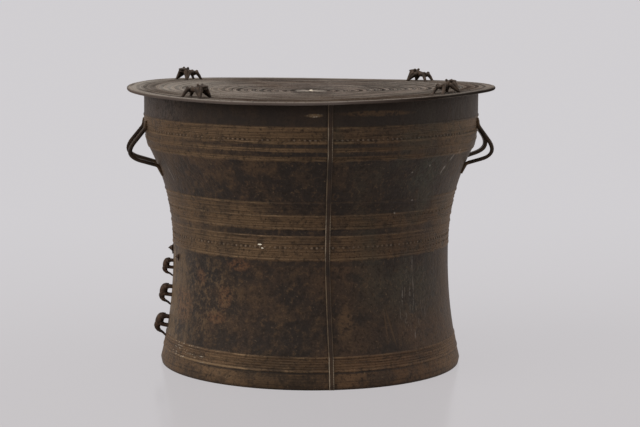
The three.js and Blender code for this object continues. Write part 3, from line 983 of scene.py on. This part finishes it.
def wall_radius(sizes, z):
    """Outer radius of the plain wall at a height."""
    turn_radius = sizes.shoulder_radius - TURN_STEP
    if z < FOOT_TOP:
        return sizes.foot_radius - FOOT_ROUND * (1 - z / FOOT_TOP) ** 3
    if z < WAIST_HEIGHT:
        share = (WAIST_HEIGHT - z) / (WAIST_HEIGHT - FOOT_TOP)
        return sizes.waist_radius + (sizes.foot_radius - sizes.waist_radius) * share ** FLARE_POWER
    if z < TURN_HEIGHT:
        share = (z - WAIST_HEIGHT) / (TURN_HEIGHT - WAIST_HEIGHT)
        return sizes.waist_radius + (turn_radius - sizes.waist_radius) * share ** FLARE_POWER
    return sizes.shoulder_radius - TURN_STEP * max(0.0, 1 - (z - TURN_HEIGHT) / SHOULDER_BLEND)


def seam_drift(z):
    """How far a seam has drifted to the right at a height."""
    return float(np.interp(z, DRIFT_HEIGHTS, DRIFTS))


def evenly(low, high, step):
    """Values from low to high, about a step apart."""
    count = math.ceil((high - low) / step)
    return [low + (high - low) * i / count for i in range(count + 1)]


def ridged(lines, plain):
    """(place, relief) stations: plain places, with each line of (place, width, relief) set in."""
    stations = []
    for line, width, relief in lines:
        stations += [(line + shift * width, share * relief) for shift, share in LINE_SHAPE]
    for place in plain:
        if all(abs(place - line) > LINE_CLEARANCE * width for line, width, _ in lines):
            stations.append((place, 0.0))
    return sorted(stations)


def ring_radius(place):
    """Radius of a place among the head's rings, 0 at the innermost and RINGS at the outermost."""
    return RING_INNERMOST + (RING_OUTERMOST - RING_INNERMOST) * place / RINGS


def head_rings():
    """Raised rings on the head as (radius, width, relief)."""
    radii = list(RIM_RINGS)
    for ring in range(RINGS + 1):
        radii += [ring_radius(ring) + way * RING_PAIR * RING_WIDTH for way in (-1, 1)]
    return [(radius, RING_WIDTH, RING_RELIEF) for radius in sorted(radii)]


def ring_of(count):
    """Copies what is selected round the drum's axis, to a count."""
    spin(count - 1, 2 * math.pi * (count - 1) / count, copies=True)


def head_plate(sizes):
    """Head plate with its star, raised rings and rows of motifs."""
    piece = start_piece("head")
    top = head_top(sizes)
    rim = sizes.head_radius
    profile = [(0.0, top), *(
        (radius, top + relief)
        for radius, relief in ridged(head_rings(), evenly(STAR_CORE, rim - RIM_ROUND, HEAD_STEP))
    )]
    profile += [(rim, top - RIM_ROUND), (rim, sizes.head_underside + RIM_ROUND)]
    below = evenly(0.0, rim - RIM_ROUND, UNDERSIDE_STEP)[::-1]
    profile += [(radius, sizes.head_underside) for radius in below]
    draw([Vector((radius, 0.0, z)) for radius, z in profile])
    spin(HEAD_STEPS, 2 * math.pi)
    close_up()
    join(piece, [head_star(top), *(head_motifs(top, lane) for lane in range(RINGS) if lane % 3)])
    places = places_of(piece)
    radius = np.hypot(places[:, 0], places[:, 1])
    wear = (places[:, 2] - top) / RING_RELIEF
    store_wear(piece, np.where(radius > rim - RIM_ROUND / 2, RIM_WEAR, wear))
    roughen(piece, HEAD_DEPTH, HEAD_SPREAD, "Z")
    settle(piece, sizes)
    return piece


def head_star(top):
    """Star of tapered rays round a low boss, with a stud between each two rays."""
    trim = start_piece("star")
    points = []
    for i in range(2 * STAR_RAYS):
        radius = STAR_CORE if i % 2 else STAR_RADIUS
        angle = math.pi * i / STAR_RAYS
        points.append(Vector((radius * math.cos(angle), radius * math.sin(angle), top - STAR_RELIEF)))
    draw(points)
    bpy.ops.mesh.edge_face_add()
    extrude((0, 0, 2 * STAR_RELIEF))
    bpy.ops.transform.resize(value=(STAR_TAPER, STAR_TAPER, 1), center_override=(0, 0, top))
    close_up()
    lump((0, 0, top), (STAR_BOSS, STAR_BOSS, STAR_BOSS), sides=32)
    lozenge((STAR_STUD_AT * STAR_RADIUS, 0, top), STAR_STUD)
    bpy.ops.transform.rotate(value=math.pi / STAR_RAYS, orient_axis="Z", center_override=(0, 0, 0))
    ring_of(STAR_RAYS)
    return trim


def head_motifs(top, lane):
    """Row of motifs between two rings: dashes, lozenges or small circles."""
    trim = start_piece("motifs")
    radius = ring_radius(lane + 0.5)
    count = round(2 * math.pi * radius / MOTIF_PITCH)
    if lane % 3 == 1:
        lozenge((radius, 0, top), DASH)
        count = round(DASHES_PER_MOTIF * count)
    elif lane % 2:
        lozenge((radius, 0, top), LOZENGE)
    else:
        bpy.ops.mesh.primitive_torus_add(
            location=(radius, 0, top), major_radius=CIRCLE_RADIUS, minor_radius=CIRCLE_THICKNESS,
            major_segments=10, minor_segments=4,
        )
    ring_of(count)
    return trim


def wall_half(sizes, side):
    """One half of the wall, spun from the front seam to the rear one, with its lines and bosses."""
    way = 1 if side == "right" else -1
    piece = start_piece(f"wall_{side}")
    high = sizes.head_underside + FIT
    lines = [(z, BOLD_WIDTH, BOLD_RELIEF) for z in BOLD_LINES]
    lines += [(z, FINE_WIDTH, FINE_RELIEF) for z in FINE_LINES]
    stations = ridged(lines, evenly(0.0, high, WALL_RISE))
    outside = [(z, wall_radius(sizes, z) + relief) for z, relief in stations]
    inside = [(z, wall_radius(sizes, z) - sizes.wall) for z in evenly(0.0, high, INSIDE_RISE)]
    draw([Vector((seam_drift(z), -radius, z)) for z, radius in inside + outside[::-1]])
    spin(WALL_STEPS, way * math.pi)
    for end in (-1, 1):
        pick(piece, lambda place: (
            abs(place.x + end * seam_drift(place.z)) < CUT_REACH and place.y * end > 0
        ))
        bpy.ops.mesh.edge_face_add()
    close_up()
    bpy.ops.transform.translate(value=(way * FIT / 2, 0, 0))
    join(piece, [boss_row(sizes, way, *row) for row in BOSS_ROWS])
    places = places_of(piece)
    plain = np.array([wall_radius(sizes, z) for z in places[:, 2]])
    store_wear(piece, (np.hypot(places[:, 0], places[:, 1]) - plain) / BOLD_RELIEF)
    roughen(piece, CAST_DEPTH, CAST_SPREAD, "NORMAL")
    settle(piece, sizes)
    return piece


def boss_row(sizes, way, z, pitch, half_width, half_height):
    """Row of flat bosses along one half of the wall, clear of the seam strips."""
    trim = start_piece("bosses")
    radius = wall_radius(sizes, z)
    margin = sizes.strip_width / radius
    arc = math.pi - 2 * margin
    bearing = way * margin - math.pi / 2
    place = (radius * math.cos(bearing), radius * math.sin(bearing), z)
    bead(place, (BOSS_RELIEF, half_width, half_height), (0, 0, bearing))
    spin(round(arc * radius / pitch), way * arc, copies=True)
    return trim


def seam_strip(sizes, bearing, name):
    """Strip with a ridge along each edge, beaded where it crosses the bands."""
    piece = start_piece(name)
    half = sizes.strip_width / 2
    bed = sizes.strip_thickness
    crest = bed + sizes.strip_ridge
    ridge = RIDGE_SHARE * sizes.strip_width
    outline = [(-half, -STRIP_ROOT), (half, -STRIP_ROOT)]
    outline += [(half - across * ridge, out * crest) for across, out in RIDGE_OUTLINE]
    outline += [(across * ridge - half, out * crest) for across, out in RIDGE_OUTLINE[::-1]]
    line = [
        Vector((wall_radius(sizes, z) + FIT, seam_drift(z), z))
        for z in evenly(FIT, sizes.head_underside - FIT, STRIP_RISE)
    ]
    sweep(outline, line, [math.pi / 2] * len(line), [1.0] * len(line))
    for low, high in WORN_BANDS:
        for z in evenly(max(low, 2 * BEAD_RADIUS), high, BEAD_PITCH):
            for way in (-1, 1):
                out = wall_radius(sizes, z) + FIT + BEAD_LEVEL * crest
                place = (out, way * (half - ridge / 2) + seam_drift(z), z)
                bead(place, (BEAD_RADIUS, BEAD_RADIUS, BEAD_RADIUS))
    deselect_all()
    places = places_of(piece)
    under = np.array([wall_radius(sizes, z) for z in places[:, 2]]) + FIT + bed
    drifts = np.array([seam_drift(z) for z in places[:, 2]])
    rubbed = np.where(places[:, 1] < drifts, 1.0, DULL_SIDE)
    store_wear(piece, rubbed * (places[:, 0] - under) / sizes.strip_ridge)
    set_down(piece, about_axis(bearing))
    settle(piece, sizes)
    return piece


def bend(before, corner, after, reach, steps):
    """Points of a rounded corner that takes up a reach of each side."""
    start = corner + (before - corner).normalized() * reach
    end = corner + (after - corner).normalized() * reach
    shares = [i / steps for i in range(steps + 1)]
    return [start * (1 - t) ** 2 + corner * (2 * t * (1 - t)) + end * t ** 2 for t in shares]


def strap_line(sizes, drop, pressed):
    """Middle of a strap from the tip of its upper tab to the tip of its lower one, at bearing 0."""
    def on_wall(z):
        return Vector((wall_radius(sizes, z) + TAB_LIFT, 0.0, z))

    high, low = HANDLE_TOP - drop, HANDLE_BOTTOM - drop
    top, bottom = on_wall(high), on_wall(low)
    upper, lower = on_wall(high + TAB_UP), on_wall(low - TAB_DOWN)
    corner = HANDLE_CORNER - Vector((pressed, 0.0, drop))
    return [
        upper,
        *bend(upper, top, corner, ROOT_BEND, ROOT_STEPS),
        *bend(top, corner, bottom, HANDLE_BEND, HANDLE_STEPS),
        *bend(corner, bottom, lower, ROOT_BEND, ROOT_STEPS),
        lower,
    ]


def strap_handle(sizes, bearing, drop, pressed, name):
    """Flat strap with raised edges and a plaited outer face, tabbed onto the wall at both ends."""
    piece = start_piece(name)
    half = sizes.strap_width / 2
    deep = sizes.strap_thickness / 2
    outline = [(-across * half, -out * deep) for across, out in STRAP_OUTLINE]
    line = strap_line(sizes, drop, pressed)
    headings = []
    for i in range(len(line)):
        along = line[min(i + 1, len(line) - 1)] - line[max(i - 1, 0)]
        headings.append(math.atan2(along.z, along.x))
    headings = list(np.unwrap(headings))
    scales = [TAB_TIP, *[1.0] * (len(line) - 2), TAB_TIP]
    sweep(outline, line, headings, scales)
    strap_plait(line, headings, GROOVE[0] * half, GROOVE[1] * deep)
    deselect_all()
    places = places_of(piece)
    store_wear(piece, STRAP_WEAR_AND_HIGHLIGHT - np.abs(places[:, 1]) / (STRAP_PALE_SHARE * half))
    set_down(piece, about_axis(bearing))
    settle(piece, sizes)
    return piece


def strap_plait(line, headings, half, out):
    """Two staggered columns of slanted beads along the outer face of a strap."""
    travelled = 0.0
    due = 0.0
    for i in range(1, len(line) - 2):
        span = line[i + 1] - line[i]
        while due < travelled + span.length:
            share = (due - travelled) / span.length
            ahead = headings[i] + (headings[i + 1] - headings[i]) * share
            outward = Vector((-math.sin(ahead), 0.0, math.cos(ahead)))
            along = Vector((math.cos(ahead), 0.0, math.sin(ahead)))
            middle = line[i] + span * share + outward * out
            for way in (-1, 1):
                slant = Matrix.Rotation(way * math.radians(PLAIT_SLANT), 3, outward)
                turned = Matrix((slant @ along, slant @ outward.cross(along), outward)).transposed()
                place = middle + Vector((0, way * half / 2, 0)) + along * (way * PLAIT_PITCH / 4)
                bead(place, PLAIT_BEAD, turned.to_euler())
            due += PLAIT_PITCH
        travelled += span.length


def frog_model():
    """Frog facing +X, in millimetres: wide head, sloping back, broad fore legs, straight hind legs."""
    piece = start_piece("rim_frog_model")
    limb((10, 0, 15.0, 5.6), (2, 0, 13.6, 5.2), (-6, 0, 12.4, 4.4), (-13, 0, 11.4, 4.6))
    lump((13.5, 0, 18.2), (8.4, 7.6, 3.5))
    lump((18.8, 0, 18.8), (4.7, 6.6, 2.3))
    lump((16.5, 0, 15.0), (5.6, 5.4, 1.9))
    lump((-15.5, 0, 11.8), (6.0, 6.0, 4.0), (0, math.radians(12), 0))
    for way in (-1, 1):
        lump((7.5, way * 5.0, 20.8), (2.5, 2.2, 2.3))
        lump((-15.0, way * 5.6, 14.6), (3.2, 2.8, 2.9))
        for x, y, z, radius in ((4.5, 5.5, 13.5, 3.8), (10.5, 6.5, 14.5, 4.2), (16.0, 6.0, 14.8, 3.4)):
            limb((x, way * y, z, radius), (18.5, way * 12.0, 1.8, 2.3))
        limb((-14, way * 6.0, 13.0, 3.6), (-18, way * 8.5, 7.0, 2.9), (-21.5, way * 9.5, 1.6, 2.2))
        for toe in (-1, 0, 1):
            limb((18.5, way * 12.0, 0.9, 1.2), (21.8, way * (12.2 + 1.9 * toe), 0.5, 0.9))
            limb((-21.0, way * 9.5, 0.9, 1.2), (-23.4, way * (9.8 + 1.8 * toe), 0.5, 0.9))
    return fuse(piece, FROG_GRAIN, 2)


def walking_down(sizes, bearing, top, size):
    """Matrix that stands a figure of unit length on the wall, head down."""
    start = Vector((wall_radius(sizes, top), 0.0, top))
    end = Vector((wall_radius(sizes, top - size), 0.0, top - size))
    ahead = (end - start).normalized()
    across = Vector((0.0, 1.0, 0.0))
    turned = Matrix((ahead, across, ahead.cross(across))).transposed().to_4x4()
    return about_axis(bearing) @ Matrix.Translation(start) @ turned @ Matrix.Scale(size, 4)


def elephant_model():
    """Elephant facing +X, one unit long: round back, legs, ears, tusks and a trunk to the ground."""
    piece = start_piece("trail_elephant_model")
    lump((0.32, 0, 0.36), (0.31, 0.185, 0.175), (0, math.radians(-10), 0))
    lump((0.16, 0, 0.31), (0.14, 0.165, 0.16))
    lump((0.58, 0, 0.425), (0.155, 0.125, 0.13), (0, math.radians(25), 0))
    limb((0.65, 0, 0.41, 0.115), (0.74, 0, 0.35, 0.088), (0.785, 0, 0.28, 0.066),
         (0.81, 0, 0.20, 0.056), (0.845, 0, 0.13, 0.050), (0.91, 0, 0.05, 0.046),
         (0.955, 0, -0.03, 0.042))
    limb((0.06, 0, 0.37, 0.03), (0.025, 0, 0.28, 0.026), (0.025, 0, 0.17, 0.024))
    for way in (-1, 1):
        limb((0.17, way * 0.09, 0.28, 0.115), (0.135, way * 0.10, 0.12, 0.078),
             (0.15, way * 0.10, -0.07, 0.075))
        limb((0.46, way * 0.09, 0.30, 0.105), (0.505, way * 0.095, 0.14, 0.07),
             (0.51, way * 0.10, -0.07, 0.072))
        ear = (way * math.radians(14), math.radians(20), 0)
        lump((0.51, way * 0.135, 0.44), (0.085, 0.03, 0.12), ear)
        limb((0.66, way * 0.06, 0.36, 0.03), (0.73, way * 0.085, 0.27, 0.024),
             (0.80, way * 0.085, 0.24, 0.014))
        lump((0.655, way * 0.095, 0.49), (0.02, 0.02, 0.02))
    return fuse(piece, ELEPHANT_GRAIN, 2)


def snail_model():
    """Snail facing +X, one unit long: a long foot under a pointed house that coils up."""
    piece = start_piece("trail_snail_model")
    limb((0.04, 0, 0.02, 0.03), (0.2, 0, 0.04, 0.09), (0.5, 0, 0.05, 0.13), (0.8, 0, 0.05, 0.09),
         (0.97, 0, 0.06, 0.05))
    coil = []
    for i in range(SNAIL_BEADS):
        share = i / (SNAIL_BEADS - 1)
        angle = 2 * math.pi * SNAIL_TURNS * share
        sway = 0.14 * (1 - share)
        coil.append((
            0.42 + sway * math.cos(angle), sway * math.sin(angle), 0.10 + 0.40 * share,
            0.15 * (1 - share) + 0.015,
        ))
    limb(*coil)
    for way in (-1, 1):
        limb((0.93, way * 0.02, 0.07, 0.025), (1.0, way * 0.05, 0.13, 0.018))
    return fuse(piece, SNAIL_GRAIN, 1)


def set_walking(sizes, kind, model, places):
    """Sets copies of a figure down on the wall at their places and takes the model away."""
    for name, place in places.items():
        figure = stand(model, f"trail_{kind}_{name}", walking_down(sizes, *place))
        hand_over(figure, f"{kind}_{name}", "figure_bronze")
    bpy.data.objects.remove(model)


# Operators


class DrumOperator(bpy.types.Operator):
    """Shared by the operators that model the drum and its stage"""

    bl_options = {"REGISTER", "UNDO"}


class MakeHead(DrumOperator):
    """Model the head plate with its star, rings and motifs"""

    bl_idname = "rain_drum.head"
    bl_label = "Head plate"

    def execute(self, context):
        hand_over(head_plate(context.scene.drum_sizes), "head_plate", "head_bronze")
        return {"FINISHED"}


class MakeWall(DrumOperator):
    """Model the two halves of the wall with their raised lines and bosses"""

    bl_idname = "rain_drum.wall"
    bl_label = "Wall halves"

    def execute(self, context):
        for side in ("left", "right"):
            hand_over(wall_half(context.scene.drum_sizes, side), f"shell_{side}", "wall_bronze")
        return {"FINISHED"}


class MakeSeams(DrumOperator):
    """Model the beaded strips over the front and rear seams"""

    bl_idname = "rain_drum.seams"
    bl_label = "Seam strips"

    def execute(self, context):
        for place, bearing in (("front", -90), ("rear", 90)):
            strip = seam_strip(context.scene.drum_sizes, bearing, f"seam_{place}")
            hand_over(strip, f"seam_strip_{place}", "seam_bronze")
        return {"FINISHED"}


class MakeHandles(DrumOperator):
    """Model the four plaited strap handles"""

    bl_idname = "rain_drum.handles"
    bl_label = "Strap handles"

    def execute(self, context):
        for place, shape in HANDLES.items():
            strap = strap_handle(context.scene.drum_sizes, *shape, f"strap_{place}")
            hand_over(strap, f"handle_{place}", "strap_bronze")
        return {"FINISHED"}


class MakeFrogs(DrumOperator):
    """Model one frog and set its copies down on the head, each facing round the rim"""

    bl_idname = "rain_drum.frogs"
    bl_label = "Frogs"

    def execute(self, context):
        sizes = context.scene.drum_sizes
        model = frog_model()
        for corner in FROGS:
            low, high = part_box(f"frog_{corner}")
            middle = (low + high) / 2
            ahead = Matrix.Rotation(math.atan2(middle.y, middle.x) + math.pi / 2, 4, "Z")
            place = Matrix.Translation((middle.x, middle.y, head_top(sizes))) @ ahead
            frog = stand(model, f"rim_frog_{corner}", place @ Matrix.Scale(FROG_SCALE, 4))
            settle(frog, sizes)
            hand_over(frog, f"frog_{corner}", "figure_bronze")
        bpy.data.objects.remove(model)
        return {"FINISHED"}


class MakeElephants(DrumOperator):
    """Model one elephant and set its copies down on the wall, walking down"""

    bl_idname = "rain_drum.elephants"
    bl_label = "Elephants"

    def execute(self, context):
        set_walking(context.scene.drum_sizes, "elephant", elephant_model(), ELEPHANTS)
        return {"FINISHED"}


class MakeSnails(DrumOperator):
    """Model one snail and set its copies down on the wall, walking down"""

    bl_idname = "rain_drum.snails"
    bl_label = "Snails"

    def execute(self, context):
        set_walking(context.scene.drum_sizes, "snail", snail_model(), SNAILS)
        return {"FINISHED"}


def seen_directly(start):
    """1 where a ray from the camera, or mirrored or let through, meets the stage."""
    camera, mirrored, through = (
        start.node("LightPath", {}, f"Is {kind} Ray") for kind in ("Camera", "Glossy", "Transmission")
    )
    return start.math("MAXIMUM", camera, start.math("MAXIMUM", mirrored, through))


def floor_finish(stage):
    """Pale matt floor, a little darker towards the camera, with a soft shadow."""
    material = bpy.data.materials.new("studio floor")
    start = clear_tree(material)
    place = start.node("TexCoord", {}, "Object")
    depth = start.node("SeparateXYZ", {"Vector": place}, "Y")
    colour = start.mix(depth.rise(*FLOOR_FADE), stage.floor, stage.backdrop)
    matt = start.node("BsdfDiffuse", {"Color": colour})
    plain = start.node("Emission", {"Color": colour})
    soft = start.node("MixShader", {0: seen_directly(start) * SHADOW_SOFTENED, 1: matt, 2: plain})
    mirror = start.node("BsdfGlossy", {"Roughness": FLOOR_BLUR})
    surface = start.node("MixShader", {0: FLOOR_SHINE, 1: soft, 2: mirror})
    start.node("OutputMaterial", {"Surface": surface})
    return material


def light_world(stage):
    """Even light from all round, with the backdrop's own colour where it is seen or mirrored."""
    world = bpy.data.worlds.new("studio")
    start = clear_tree(world)
    colour = start.mix(seen_directly(start), (stage.sky,) * 3, stage.backdrop)
    background = start.node("Background", {"Color": colour, "Strength": 1.0})
    start.node("OutputWorld", {"Surface": background})
    bpy.context.scene.world = world


def hang_lamp(name, strength, spread, heading, height):
    """Broad, distant lamp that shines from a heading and a height above the floor, in degrees."""
    deselect_all()
    bpy.ops.object.light_add(type="SUN", rotation=(
        math.radians(90 - height), 0.0, math.radians(heading + 90),
    ))
    lamp = bpy.context.object
    lamp.name = name
    lamp.data.energy = strength
    lamp.data.angle = math.radians(spread)


class MakeStage(DrumOperator):
    """Lay the floor, hang the lamps and set up the camera"""

    bl_idname = "rain_drum.stage"
    bl_label = "Stage"

    def execute(self, context):
        stage = context.scene.drum_stage
        deselect_all()
        bpy.ops.mesh.primitive_plane_add(size=FLOOR_SIZE)
        floor = bpy.context.object
        floor.name = "floor"
        floor.data.materials.append(floor_finish(stage))
        light_world(stage)
        for name, shine in LAMPS.items():
            hang_lamp(name, *shine)
        deselect_all()
        bpy.ops.object.camera_add()
        camera = bpy.context.object
        angles = ((CAMERA_TURN, "Z"), (CAMERA_PITCH, "X"), (CAMERA_ROLL, "Z"))
        turn, pitch, roll = (Matrix.Rotation(math.radians(angle), 4, axis) for angle, axis in angles)
        camera.matrix_world = Matrix.Translation(CAMERA_PLACE) @ turn @ pitch @ roll
        camera.data.lens = CAMERA_LENS
        context.scene.camera = camera
        context.scene.view_settings.view_transform = "Standard"
        return {"FINISHED"}


MAKERS = (MakeStage, MakeHead, MakeWall, MakeSeams, MakeHandles, MakeFrogs, MakeElephants, MakeSnails)


class DrumPanel(bpy.types.Panel):
    """Lists the drum's settings and the operators that model it"""

    bl_idname = "VIEW3D_PT_rain_drum"
    bl_label = "Rain Drum"
    bl_space_type = "VIEW_3D"
    bl_region_type = "UI"
    bl_category = "Rain Drum"

    def draw(self, context):
        for settings in SETTINGS:
            group = getattr(context.scene, settings)
            box = self.layout.box()
            for name in group.__annotations__:
                box.prop(group, name, text=name.replace("_", " ").capitalize())
        for maker in MAKERS:
            self.layout.operator(maker.bl_idname)


SETTINGS = {"drum_sizes": DrumSizes, "drum_colours": DrumColours, "drum_stage": DrumStage}
CLASSES = (*SETTINGS.values(), *MAKERS, DrumPanel)


def register():
    """Adds the classes and the scene's settings."""
    for item in CLASSES:
        bpy.utils.register_class(item)
    for settings, group in SETTINGS.items():
        setattr(bpy.types.Scene, settings, bpy.props.PointerProperty(type=group))


def unregister():
    """Takes the classes and the scene's settings away."""
    for settings in SETTINGS:
        delattr(bpy.types.Scene, settings)
    for item in reversed(CLASSES):
        bpy.utils.unregister_class(item)


def main():
    """Models the drum on its stage."""
    register()
    for maker in MAKERS:
        family, name = maker.bl_idname.split(".")
        getattr(getattr(bpy.ops, family), name)()
    deselect_all()


if __name__ == "__main__":
    main()
